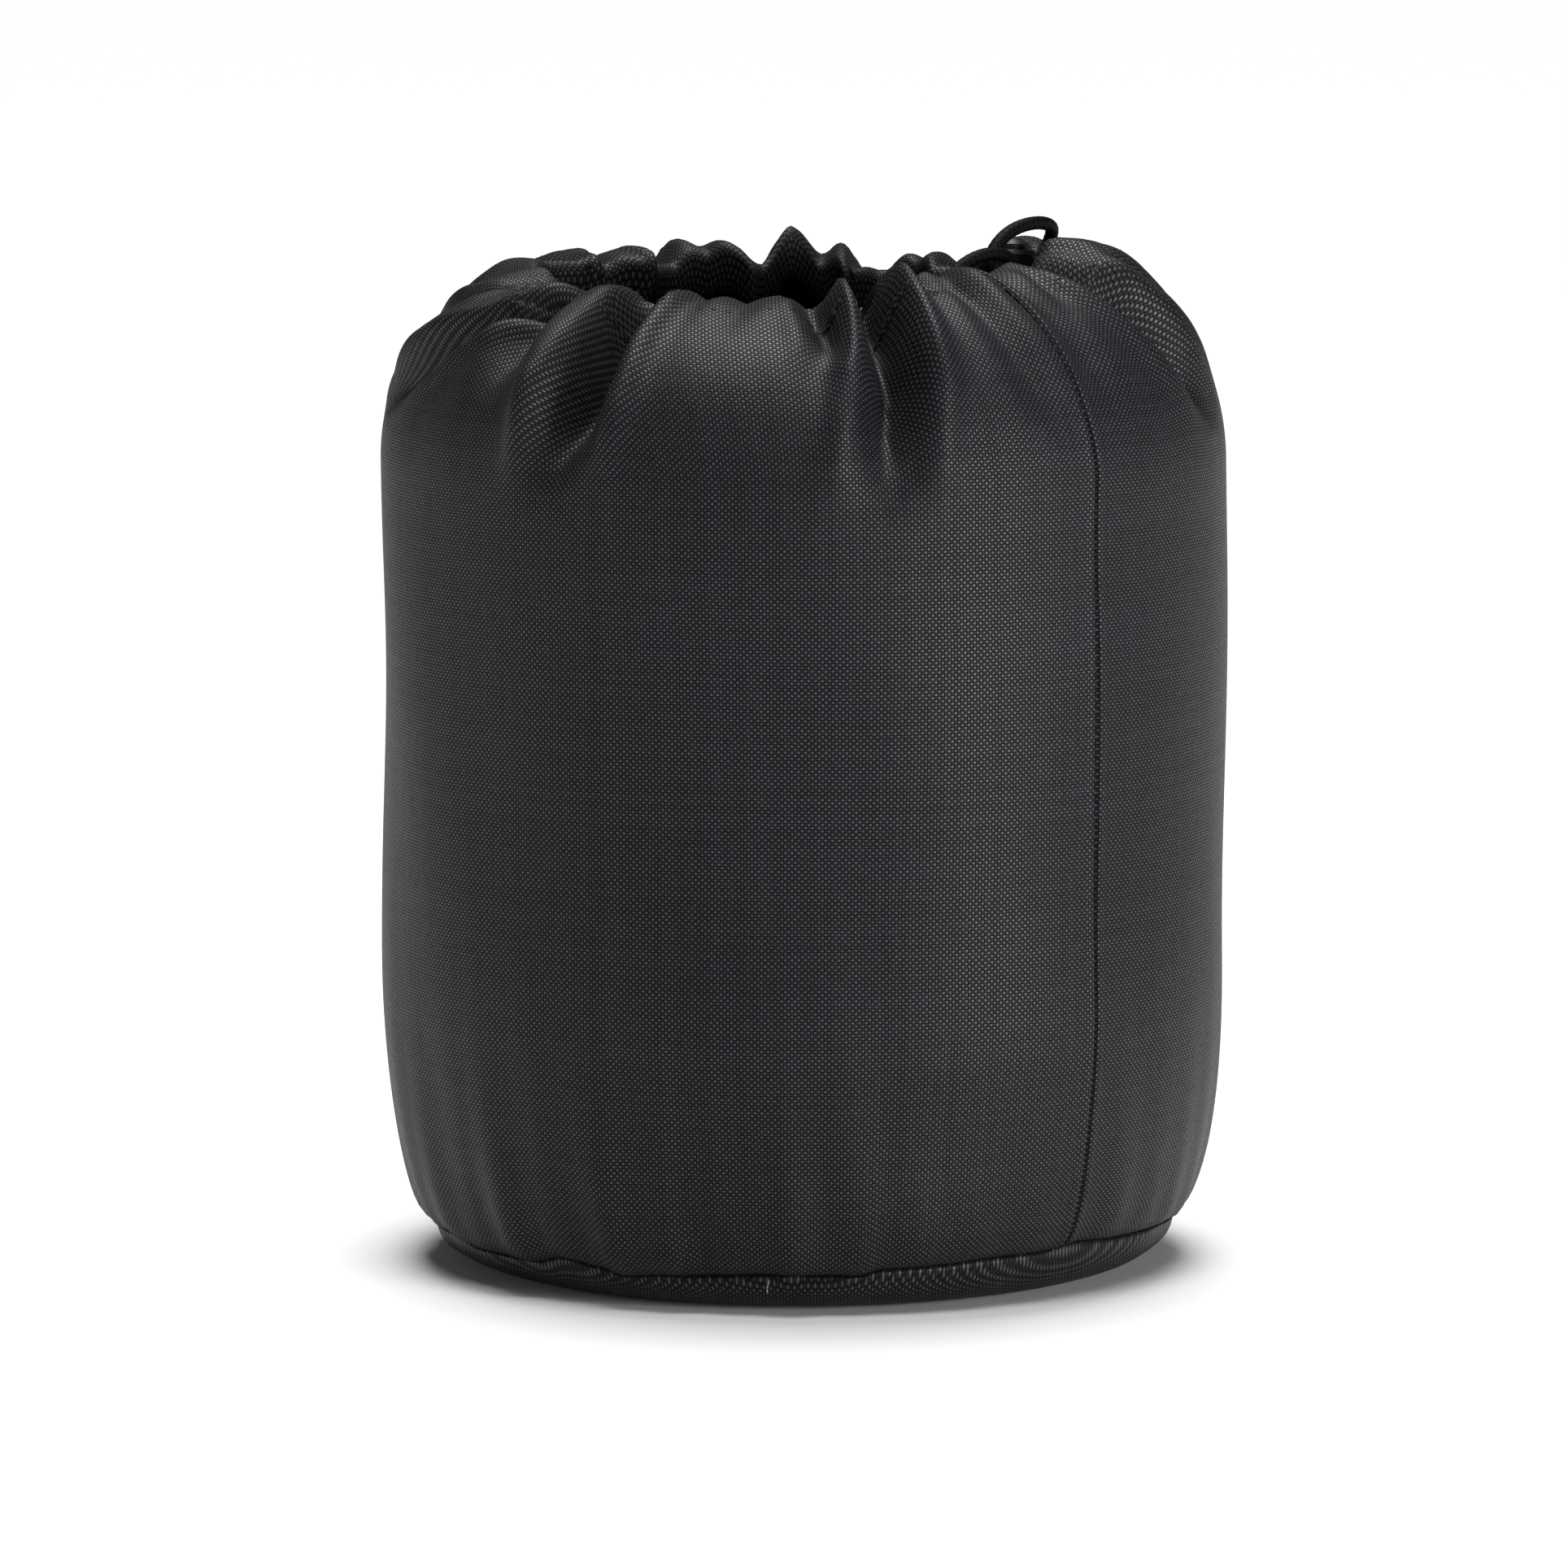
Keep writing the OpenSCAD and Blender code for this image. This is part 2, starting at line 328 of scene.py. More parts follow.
def new_piece(name, points, faces, uv=None, material=None, body="sack", smooth=True):
    """A mesh from points in millimetres, with one map point in metres for each corner of each face."""
    mesh = bpy.data.meshes.new(name)
    mesh.from_pydata([tuple(p) for p in np.asarray(points, float) * MM], [], faces)
    if uv is not None:
        layer = mesh.uv_layers.new(name="map")
        layer.data.foreach_set("uv", np.asarray(uv, float).ravel())
    mesh.polygons.foreach_set("use_smooth", [smooth] * len(mesh.polygons))
    mesh.update()
    piece = bpy.data.objects.new(name, mesh)
    bpy.context.scene.collection.objects.link(piece)
    if material is not None:
        mesh.materials.append(material)
    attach(piece, body)
    return piece


def unit(v):
    v = np.asarray(v, float)
    return v / np.maximum(np.linalg.norm(v, axis=-1, keepdims=True), 1e-12)


def smooth_line(points, step):
    """A cubic B-spline near given points, through the first and the last, spaced evenly."""
    p = np.asarray(points, float)
    p = np.vstack([2 * p[0] - p[1], p, 2 * p[-1] - p[-2]])
    t = np.linspace(0, 1, 12, endpoint=False)[:, None]
    line = []
    for a, b, c, d in zip(p[:-3], p[1:-2], p[2:-1], p[3:]):
        line.append(
            ((1 - t) ** 3 * a + (3 * t**3 - 6 * t**2 + 4) * b
             + (-3 * t**3 + 3 * t**2 + 3 * t + 1) * c + t**3 * d) / 6
        )
    line = np.vstack([*line, p[-2:-1]])
    along = np.r_[0, np.cumsum(np.linalg.norm(np.diff(line, axis=0), axis=1))]
    at = np.linspace(0, along[-1], max(3, int(round(along[-1] / step)) + 1))
    return np.stack([np.interp(at, along, line[:, k]) for k in range(3)], axis=1)


def carried_frames(line):
    """Two directions square to a line at each point, turned as little as possible along it."""
    ahead = unit(np.gradient(line, axis=0))
    across = np.zeros_like(line)
    start = np.array([0.1, 0.2, 1.0])
    for i, t in enumerate(ahead):
        start = start - t * (start @ t)
        start = start / np.linalg.norm(start)
        across[i] = start
    return ahead, across, np.cross(ahead, across)


def tube_mesh(line, radius, sides=12, relief=None, round_ends=True):
    """Points, faces and map of a closed tube along a line, in millimetres.

    relief(turn, along) swells it.
    """
    line = np.asarray(line, float)
    ahead, across, up = carried_frames(line)
    along = np.r_[0, np.cumsum(np.linalg.norm(np.diff(line, axis=0), axis=1))]
    turn = np.arange(sides) * 2 * math.pi / sides
    radii = np.full((len(line), sides), float(radius))
    if relief is not None:
        radii = radii * (1 + relief(turn[None, :], along[:, None]))
    centres = line.copy()
    if round_ends:
        for out, share in TUBE_END:
            centres = np.vstack([line[0] + ahead[0] * out * radius, centres,
                                 line[-1] - ahead[-1] * out * radius])
            across = np.vstack([across[:1], across, across[-1:]])
            up = np.vstack([up[:1], up, up[-1:]])
            radii = np.vstack([radii[:1] * 0 + radius * share, radii, radii[:1] * 0 + radius * share])
            along = np.r_[along[0], along, along[-1]]
    points = centres[:, None] + radii[..., None] * (
        np.cos(turn)[None, :, None] * across[:, None] + np.sin(turn)[None, :, None] * up[:, None]
    )
    rings = len(centres)
    faces, uv = [], []
    girth = 2 * math.pi * radius / sides
    for i in range(rings - 1):
        for k in range(sides):
            j = (k + 1) % sides
            faces.append((i * sides + k, i * sides + j, (i + 1) * sides + j, (i + 1) * sides + k))
            u0, u1 = k * girth * MM, (k + 1) * girth * MM
            v0, v1 = along[i] * MM, along[i + 1] * MM
            uv += [(u0, v0), (u1, v0), (u1, v1), (u0, v1)]
    for ring, order in ((0, range(sides - 1, -1, -1)), (rings - 1, range(sides))):
        faces.append(tuple(ring * sides + k for k in order))
        uv += [(k * girth * MM, along[ring] * MM) for k in order]
    return points.reshape(-1, 3), faces, uv


def joined(parts):
    """Several (points, faces, map) as one."""
    points, faces, uv, start = [], [], [], 0
    for p, f, m in parts:
        points.append(np.asarray(p, float))
        faces += [tuple(start + k for k in face) for face in f]
        uv += list(m)
        start += len(p)
    return np.vstack(points), faces, uv


# ---------------------------------------------------------------- the cloth's shape

def meridian():
    """The filled sack's outline from the base seam to the rim: cloth length, and (radius, height)."""
    a = np.radians(np.linspace(0, 90, 240))
    heel_top = BASE_SEAM_Z + HEEL_H
    heel = np.stack([BASE_SEAM_R + (BODY_R - BASE_SEAM_R) * np.sin(a), heel_top - HEEL_H * np.cos(a)], 1)
    shoulder = np.stack([
        MOUTH_R + (BODY_R - MOUTH_R) * np.cos(a), RIM_Z - SHOULDER_H + SHOULDER_H * np.sin(a)
    ], 1)
    line = np.vstack([heel, shoulder])
    length = np.r_[0, np.cumsum(np.linalg.norm(np.diff(line, axis=0), axis=1))]
    return length, line


LENGTH, OUTLINE = meridian()
SIDE_L = LENGTH[-1]

# How far the rim stands above or below its mean height: (angle, mm).
RIM_LIFT = [
    (-172, -6), (-161, -2.5), (-150, -4), (-138, -3.4), (-122, -1.5), (-104, -4), (-86, -6), (-68, -6.5),
    (-52, -7), (-42, -8), (-34, -6.5), (-22, -5.5), (-12, -6), (-4, -4.5), (2, -6.5), (9, -3.5),
    (14, -4), (20, -1.4), (28, -0.6), (40, 0), (50, -0.5), (57, -1.8), (65, 4.4), (71, 1.6), (79, -0.5),
    (86, -0.8), (94, -0.4), (104, 1), (114, 1.5), (128, -0.5), (142, -4), (156, -4.5), (168, -6),
]
# Where cloth at an angle on the side ends up at the gathered rim: (angle on the side, angle at the rim).
GATHER = [
    (-180, -180), (-150, -152), (-110, -108), (-80, -84), (-45, -51), (-24, -41), (4, 2), (14, 11),
    (42, 34), (70, 66), (92, 87), (130, 128), (155, 158),
]
# Height of the base seam above or below its mean: (angle, mm).
SEAM_LIFT = [
    (-180, 0.8), (-130, 0), (-90, 0.5), (-68, 0.5), (-59, -0.8), (-45, -0.7), (-39, 1.1), (-32, -0.2),
    (-28, -1.4), (-20, -0.5), (-4, 0.3), (8, 0), (12, 1.2), (21, 1.6), (28, 2.3), (38, 2.4), (45, 3.4),
    (58, 2.4), (68, 2), (90, 1), (130, -0.5),
]
# Folds that run down from the mouth. Each is (its path as (angle, mm of cloth below the rim) points,
# half width at its top and at its foot, height of its crown or, when negative, depth, both in mm).
FOLDS = [
    # the pocket on the left, with the lobe beside it
    ([(-31, 5), (-31.3, 20), (-32, 36), (-33.5, 50), (-35.5, 64)], 3.0, 5.0, -11.5),
    ([(-40.5, 2), (-41, 20), (-40.6, 38), (-42, 60)], 3.8, 5.5, 5.0),
    ([(-49, 1), (-49, 20), (-50, 46)], 2.4, 5.0, -3.5),
    # the long crease to the left edge
    ([(-44, 0), (-54, 14), (-68, 32), (-83, 52)], 2.2, 4.0, -8.5),
    ([(-56, 0), (-64, 12), (-78, 28), (-92, 44)], 4.0, 7.0, 3.0),
    ([(-68, 0), (-78, 10), (-94, 28), (-106, 50)], 2.6, 5.5, -4.5),
    # the flat tongue in the middle
    ([(-12, 6), (-12, 50)], 14.0, 20.0, 1.2),
    # the two creases right of the middle, with the ridge between them
    ([(0.5, 1), (3.4, 16), (6.0, 34)], 2.2, 3.6, -5.0),
    ([(6.4, 0), (7.6, 18), (7.8, 40)], 2.2, 3.4, 3.4),
    ([(11, 0), (12.4, 16), (12.8, 38), (11.6, 52), (10.8, 67)], 2.8, 5.4, -11.0),
    ([(16.5, 2), (18, 20), (19.5, 46)], 3.0, 5.0, 3.2),
    ([(22, 0), (25.5, 14)], 1.8, 3.0, -3.0),
    ([(27, 3), (30, 24), (35, 52)], 1.9, 3.4, -1.9),
    ([(31.5, 2), (35, 24), (39.5, 46)], 2.0, 3.2, 1.2),
    ([(38, 3), (42, 20), (47, 48)], 2.2, 3.8, -1.9),
    # the lobe at the right edge, in front of the cord
    ([(54, 0), (57, 14), (64, 30), (74, 54)], 2.3, 4.6, -9.0),
    ([(65, 0), (70, 16), (79, 40)], 4.0, 8.0, 3.0),
    ([(88, 2), (94, 20), (101, 46)], 3.0, 6.0, -5.5),
    ([(104, 0), (108, 20), (113, 44)], 5.0, 8.0, 3.5),
    # the back
    ([(119, 0), (121, 24), (126, 58)], 3.0, 6.0, -7.0),
    ([(133, 0), (134, 20), (136, 40)], 4.4, 7.0, 2.6),
    ([(143, 0), (146, 22), (150, 50)], 2.8, 5.5, -6.0),
    ([(164, 0), (163, 26), (166, 62)], 3.2, 6.5, -7.5),
    ([(173, 2), (175, 20), (178, 44)], 3.4, 6.0, 3.0),
    ([(-173, 0), (-174, 22), (-170, 46)], 2.6, 5.0, -5.5),
    ([(-161, 0), (-160, 18), (-157, 42)], 4.2, 7.0, 3.6),
    ([(-149, 0), (-147, 26), (-144, 60)], 3.0, 6.5, -7.0),
    ([(-134, 0), (-131, 22), (-126, 44)], 2.8, 5.5, -4.8),
    ([(-118, 0), (-117, 24), (-119, 56)], 3.0, 6.0, -6.0),
]
# Broad soft dents and swellings in the filled side: (angle, height, half widths round and up, mm out).
DENTS = [
    (-8, 98, 26, 52, -2.6), (-36, 110, 22, 70, 1.0), (22, 140, 24, 60, 1.7), (68, 90, 30, 60, -0.8),
    (-72, 130, 24, 50, -0.9), (2, 40, 34, 16, -1.2), (110, 120, 40, 60, 1.2), (170, 100, 40, 50, -1.5),
    (-130, 90, 44, 60, 1.1), (-20, 168, 30, 14, 0.8), (44, 168, 26, 18, -0.8), (30, 60, 30, 22, 0.9),
]


def apart(angle, other):
    """The signed difference of two angles, within half a turn."""
    return (np.asarray(angle) - other + 180) % 360 - 180


def round_table(table, angle):
    """A smooth periodic curve through (angle, value) points."""
    keys = np.array(sorted(((a + 180) % 360 - 180, v) for a, v in table), float)
    x = np.r_[keys[-2:, 0] - 360, keys[:, 0], keys[:2, 0] + 360]
    y = np.r_[keys[-2:, 1], keys[:, 1], keys[:2, 1]]
    at = apart(angle, 0)
    i = np.clip(np.searchsorted(x, at, side="right") - 1, 0, len(x) - 2)
    t = (at - x[i]) / (x[i + 1] - x[i])
    t = t * t * (3 - 2 * t)
    return y[i] * (1 - t) + y[i + 1] * t


def gathered(angle, below):
    """Where cloth at an angle on the side lies, so many millimetres of cloth below the rim."""
    keys = np.array(GATHER, float)
    x = np.r_[keys[:, 0], keys[0, 0] + 360]
    shift = np.r_[keys[:, 1] - keys[:, 0], keys[0, 1] - keys[0, 0]]
    moved = np.interp((np.asarray(angle, float) + 180) % 360 - 180, x, shift)
    share = np.clip(1 - below / 62, 0, 1)
    return angle + moved * share**1.3


def step_between(x, low, high):
    t = np.clip((x - low) / (high - low), 0, 1)
    return t * t * (3 - 2 * t)


def wander(seed, *phases):
    """A smooth seeded wave of several phases, about -1 to 1."""
    rng = np.random.default_rng(seed)
    total = 0
    for k in range(5):
        turns = [p * rng.uniform(0.6, 1.7) for p in phases]
        total = total + math.cos(k) * np.sin(sum(turns) + rng.uniform(0, 6.28))
    return total / 1.9


def fold_height(angle, below, radius):
    """How far the folds lift the cloth off the filled shape, in millimetres."""
    total = np.zeros(np.broadcast(angle, below).shape)
    for path, top_w, foot_w, height in FOLDS:
        turn, deep = np.array(path, float).T
        foot = deep[-1]
        t = np.clip((below - deep[0]) / (foot - deep[0]), 0, 1.2)
        centre = np.interp(below, deep, turn)
        lean = np.gradient(turn, deep) * math.pi / 180
        slope = np.interp(below, deep, lean) * radius
        gap = apart(angle, centre) * math.pi / 180 * radius / np.sqrt(1 + slope**2)
        width = top_w + (foot_w - top_w) * np.clip(t, 0, 1)
        strength = (1 - step_between(t, 0.62, 1.08)) * step_between(below, deep[0] - 14, deep[0] + 7)
        x = gap / width
        if height < 0:
            shape = np.exp(-np.abs(x) ** 1.5) - 0.30 * np.exp(-((np.abs(x) - 2.3) / 0.9) ** 2)
        else:
            shape = np.exp(-np.abs(x) ** 1.9)
        total = total + height * strength * shape
    return total


def tucks(angle, below):
    """The small tucks along the gathered hem, and finer creases below it, finer and weaker at the front."""
    a = np.radians(angle)
    phase = 46 * a + 2.2 * wander(3, 5 * a)
    calm = 0.75 + 0.25 * step_between(np.abs(apart(angle, -12)), 24, 50)
    hem = (np.abs(np.cos(phase / 2)) * 2 - 1) * np.exp(-((below / 15) ** 2))
    long_phase = 19 * a + 1.8 * wander(5, 4 * a) + 0.02 * below
    long = (np.abs(np.cos(long_phase / 2)) * 2 - 1.2) * np.exp(-((below / 34) ** 2))
    long = long * (0.25 + 0.75 * step_between(np.abs(apart(angle, -12)), 20, 60))
    fine = wander(8, 30 * a, below * 0.16) * np.exp(-((below / 30) ** 2))
    return calm * (1.0 * hem + 1.5 * long * step_between(below, 0, 12)) + 0.25 * fine


def ruffle(angle, below):
    """How far the gathered hem swings in and out, most at the back and on the left, in millimetres."""
    a = np.radians(angle)
    back = step_between(np.abs(apart(angle, 15)), 85, 120)
    phase = 14 * a + 1.6 * wander(41, 3 * a)
    swing = np.abs(np.cos(phase / 2)) * 2 - 1.1
    return (0.5 + 4.2 * back) * swing * np.exp(-((below / 20) ** 2))


def peak(angle, below):
    """The sharp corner of cloth that stands up at the back of the mouth, in millimetres."""
    gap = apart(angle, 183) * math.pi / 180 * RING_R
    return 9.5 * np.clip(1 - np.abs(gap) / 6.5, 0, 1) * np.exp(-((below / 16) ** 2))


def seam_groove(angle, radius):
    """The side seam's narrow valley, with the cloth a little full on each side of it."""
    gap = apart(angle, SEAM_ANGLE) * math.pi / 180 * radius
    return -0.9 * np.exp(-((gap / 0.42) ** 2)) + 0.3 * np.exp(-(((np.abs(gap) - 1.5) / 1.0) ** 2))


def side_point(angle, along, lift=0.0, tube=None):
    """Points of the side panel, in millimetres: angle on the side in degrees, cloth from the base seam.

    lift stands off the cloth. tube = (radius, height) places them on the hem instead of the outline.
    """
    angle = np.asarray(angle, float)
    along = np.asarray(along, float)
    below = SIDE_L - along
    r0 = np.interp(along, LENGTH, OUTLINE[:, 0])
    z0 = np.interp(along, LENGTH, OUTLINE[:, 1])
    slope_r = np.interp(along + 0.6, LENGTH, OUTLINE[:, 0]) - np.interp(along - 0.6, LENGTH, OUTLINE[:, 0])
    slope_z = np.interp(along + 0.6, LENGTH, OUTLINE[:, 1]) - np.interp(along - 0.6, LENGTH, OUTLINE[:, 1])
    size = np.hypot(slope_r, slope_z)
    out_r, out_z = slope_z / size, -slope_r / size
    if tube is not None:
        r0, z0 = tube
    at = gathered(angle, below)
    near = np.exp(-((below / 40) ** 2))
    off = fold_height(at, below, np.maximum(r0, 50)) * (0.4 + 0.6 * step_between(below, 0, 12))
    off = off + tucks(at, below) + seam_groove(angle, r0)
    body = np.zeros_like(off)
    for turn, z, wide, tall, out in DENTS:
        body = body + out * np.exp(-((apart(at, turn) / wide) ** 2) - ((z0 - z) / tall) ** 2)
    a = np.radians(at)
    body = body + 0.35 * wander(11, 7 * a, z0 * 0.05) * step_between(along, 0, 20)
    pucker = wander(17, 26 * a, z0 * 0.05) * np.exp(-along / 26) * step_between(along, -1, 7)
    body = body + (0.6 + 0.9 * (1 - step_between(np.abs(apart(at, -18)), 28, 44))) * pucker
    off = off + body + lift
    r = r0 + off * out_r + ruffle(at, below)
    z = z0 + off * out_z + peak(at, below)
    z = z + round_table(RIM_LIFT, at) * near
    z = z + round_table(SEAM_LIFT, at) * np.exp(-((along / 26) ** 2))
    return np.stack([r * np.sin(a), -r * np.cos(a), z], -1)


# Angles on the side, and where the gathered hem carries each of them.
CLOTH_TURNS = np.linspace(-360, 720, 3000)
HEM_TURNS = gathered(CLOTH_TURNS, HEM_BELOW)


def hem_point(turn, radius, height):
    """Points in the gathered hem, from their angle, radius and height on the plain ring."""
    cloth = np.interp(turn, HEM_TURNS, CLOTH_TURNS)
    return side_point(cloth, np.full_like(cloth, SIDE_L - HEM_BELOW), tube=(radius, height))


def grid_faces(rows, columns, closed=True):
    """Quads of a grid whose points run along each row in turn."""
    faces = []
    last = columns if closed else columns - 1
    for j in range(rows - 1):
        for i in range(last):
            k = (i + 1) % columns
            faces.append((j * columns + i, j * columns + k, (j + 1) * columns + k, (j + 1) * columns + i))
    return faces


def thicken(piece, thickness, offset=-1.0):
    """Gives a sheet its thickness and applies it."""
    modifier = piece.modifiers.new("thickness", "SOLIDIFY")
    modifier.thickness = thickness * MM
    modifier.offset = offset
    modifier.use_rim = True
    with bpy.context.temp_override(object=piece, active_object=piece, selected_objects=[piece]):
        bpy.ops.object.modifier_apply(modifier=modifier.name)


# Extra columns close to the side seam, in millimetres from it, at 0.6 degrees to the millimetre.
SEAM_STEPS = np.array((0.0, 0.25, 0.5, 0.85, 1.3, 1.9)) * 0.6
COLUMN_ANGLES = SEAM_ANGLE + np.unique(
    np.r_[np.linspace(0.24, 359.76, 396), SEAM_STEPS, 360 - SEAM_STEPS[1:]]
)


def side_rows():
    """Each row, bottom to top and round.

    A row is (cloth from the base seam, its place on the hem or None, cloth used so far).
    """
    rows = []
    for tuck in TUCKED_IN:
        rows.append((0.0, (BASE_SEAM_R - tuck, BASE_SEAM_Z + 0.5 * tuck), -tuck))
    for along in [*np.linspace(0, 60, 26), *np.linspace(64, SIDE_L - 66, 26),
                  *np.linspace(SIDE_L - 64.4, SIDE_L - 3.2, 50)]:
        rows.append((along, None, along))
    used = SIDE_L - 2.5
    for turn in np.linspace(90, 270, 9):
        t = math.radians(turn)
        place = (RING_R + TUNNEL_R * math.cos(t), RING_Z + TUNNEL_R * math.sin(t))
        rows.append((SIDE_L - HEM_BELOW, place, used + TUNNEL_R * (t - math.pi / 2)))
    used += TUNNEL_R * math.pi
    stitch_r = MOUTH_R + HEM_W
    for share in np.linspace(0.14, 1.08, 8):
        r = RING_R + (stitch_r - RING_R) * share
        z = RING_Z - TUNNEL_R + 0.95 * share**2
        rows.append((SIDE_L - HEM_BELOW - 12.5 * share, (r, z), used + (r - RING_R)))
    return rows


def side_cloth(material):
    """The side panel with its hem: up the side, over the shoulder, round the drawcord and back inside."""
    rows = side_rows()
    angles = COLUMN_ANGLES
    columns = len(angles)
    points = []
    for along, place, _ in rows:
        points.append(side_point(angles, np.full(columns, along), tube=place))
    points = np.array(points)
    # the hem's inner layer is let down at the back, where the ruffles stand away from it
    mouth_rows = [j for j, (_, place, _) in enumerate(rows) if place is not None][len(TUCKED_IN):]
    standing = 7.5 * step_between(np.abs(apart(angles, 15)), 75, 110)
    for n, j in enumerate(mouth_rows):
        points[j, :, 2] -= standing * (max(0, n - 4) / 4 if n < 9 else (16 - n) / 8)
    first_inner, last_inner = mouth_rows[2], mouth_rows[7]
    faces, uv = [], []
    across = (np.r_[angles, angles[0] + 360] - SEAM_ANGLE) * math.pi / 180 * BODY_R * MM
    for j in range(len(rows) - 1):
        for i in range(columns):
            at = apart(angles[i], 0)
            hole = any(low < gathered(at, 0.0) < high - 0.9 for low, high in (LEFT_EXIT, RIGHT_EXIT))
            if hole and first_inner <= j < last_inner:
                continue
            k = (i + 1) % columns
            faces.append((j * columns + i, j * columns + k, (j + 1) * columns + k, (j + 1) * columns + i))
            u0, u1 = across[i], across[i + 1]
            v0, v1 = rows[j][2] * MM, rows[j + 1][2] * MM
            uv += [(u0, v0), (u1, v0), (u1, v1), (u0, v1)]
    piece = new_piece("side_cloth", points.reshape(-1, 3), faces, uv, material)
    thicken(piece, CLOTH_T)
    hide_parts("side_panel", "channel_hem")


def base_cloth(material):
    """The round base panel: flat on the floor, turned up to the seam and tucked in."""
    columns = 300
    a = np.radians(np.arange(columns) * 360 / columns)
    turn = np.degrees(a)
    rows = [(r, 0.0, 0.0) for r in np.linspace(4, FOOT_R, 14)]
    for t in np.radians(np.linspace(8, 90, 14)):
        rows.append((FOOT_R + (BASE_SEAM_R - FOOT_R) * math.sin(t), BASE_SEAM_Z * (1 - math.cos(t)), t))
    rows += [(BASE_SEAM_R - 0.7, BASE_SEAM_Z + 0.05, 1.6), (BASE_SEAM_R - 1.4, BASE_SEAM_Z + 0.15, 1.6)]
    points = []
    for r, z, t in rows:
        share = min(1.0, z / BASE_SEAM_Z)
        ripple = 0.5 * wander(23, 24 * a) * share * (1 - 0.6 * share)
        radius = r + ripple
        height = z + round_table(SEAM_LIFT, turn) * share**2
        points.append(np.stack([radius * np.sin(a), -radius * np.cos(a), np.maximum(height, 0.0)], 1))
    points = np.vstack([*points, [[0, 0, 0]]])
    faces = grid_faces(len(rows), columns)
    centre = len(points) - 1
    faces += [((i + 1) % columns, i, centre) for i in range(columns)]
    uv = [(points[v][0] * MM, points[v][1] * MM) for face in faces for v in face]
    piece = new_piece("base_cloth", points, faces, uv, material)
    thicken(piece, CLOTH_T)
    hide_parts("base_panel")


# ---------------------------------------------------------------- seams

def stitch(start, end, rise, radius, steps=5):
    """One stitch as a short bent piece of thread, proud in its middle."""
    t = np.linspace(0, 1, steps)[:, None]
    line = start + (end - start) * t + rise * (np.sin(math.pi * t) ** 0.5)
    return tube_mesh(line, radius, sides=6, round_ends=False)


def row_of_stitches(point_at, start, end, pitch, gap, radius, rise):
    """Stitches along point_at(distance, lift) from start to end, in millimetres."""
    parts = []
    count = int((end - start) / pitch)
    for k in range(count):
        a = start + k * pitch + gap / 2
        b = a + pitch - gap
        first, last = point_at(a, -radius), point_at(b, -radius)
        top = point_at((a + b) / 2, radius * rise)
        middle = (first + last) / 2
        parts.append(stitch(first, last, top - middle, radius))
    return joined(parts)


def seam_stitches(black, charcoal):
    girth = 2 * math.pi * BODY_R
    per_mm = 360 / girth

    def on_hem(distance, lift):
        return side_point(distance * per_mm, SIDE_L - HEM_W, lift)

    def on_side(distance, lift):
        return side_point(SEAM_ANGLE, distance, lift)

    def on_base(distance, lift):
        turn = distance / (2 * math.pi * BASE_SEAM_R) * 360
        r = BASE_SEAM_R + 0.15 + 0.7 * lift
        z = BASE_SEAM_Z - 0.1 - 0.7 * lift + float(round_table(SEAM_LIFT, turn))
        a = math.radians(turn)
        return np.array([r * math.sin(a), -r * math.cos(a), z])

    rows = {
        "hem_stitches": (on_hem, 0, girth, 2.9, 0.8, 0.13, 0.2, "hem_stitch_thread"),
        "side_seam_stitches": (on_side, 3, SIDE_L - HEM_W - 1, 3.0, 0.9, 0.2, 0.9, "side_seam_thread"),
        "base_seam_stitches": (
            on_base, 0, 2 * math.pi * BASE_SEAM_R, 3.0, 0.8, 0.2, 0.9, "base_seam_thread"
        ),
    }
    for name, (place, start, end, pitch, gap, radius, rise, node) in rows.items():
        points, faces, uv = row_of_stitches(place, start, end, pitch, gap, radius, rise)
        material = charcoal if name == "hem_stitches" else black
        piece = new_piece(name, points, faces, uv, material)
        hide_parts(node)


def buttonholes(material):
    """Close stitches round each cord exit in the hem's inner face."""
    parts = []
    for low, high in (LEFT_EXIT, RIGHT_EXIT):
        inner_r = RING_R - TUNNEL_R - CLOTH_T
        half_w = (high - low) / 2 * math.pi / 180 * inner_r
        half_h = 1.9
        middle = (low + high) / 2
        for k in range(52):
            t = 2 * math.pi * k / 52
            w = half_w * math.copysign(abs(math.cos(t)) ** 0.5, math.cos(t))
            h = half_h * math.copysign(abs(math.sin(t)) ** 0.5, math.sin(t))
            ends = []
            for grow in (1.0, 1.0 + 0.9 / half_h):
                turn = middle + math.degrees((w + (grow - 1) * half_h * math.cos(t)) / inner_r)
                bow = TUNNEL_R - math.sqrt(max(TUNNEL_R**2 - min(abs(h * grow), 2.6) ** 2, 0))
                ends.append(hem_point(turn, inner_r + bow, RING_Z + h * grow))
            inward = -unit(np.array([ends[0][0], ends[0][1], 0.0]))
            parts.append(stitch(ends[0], ends[1], inward * 0.25, 0.16))
    points, faces, uv = joined(parts)
    piece = new_piece("buttonhole_stitches", points, faces, uv, material)
    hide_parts("exit_buttonholes")


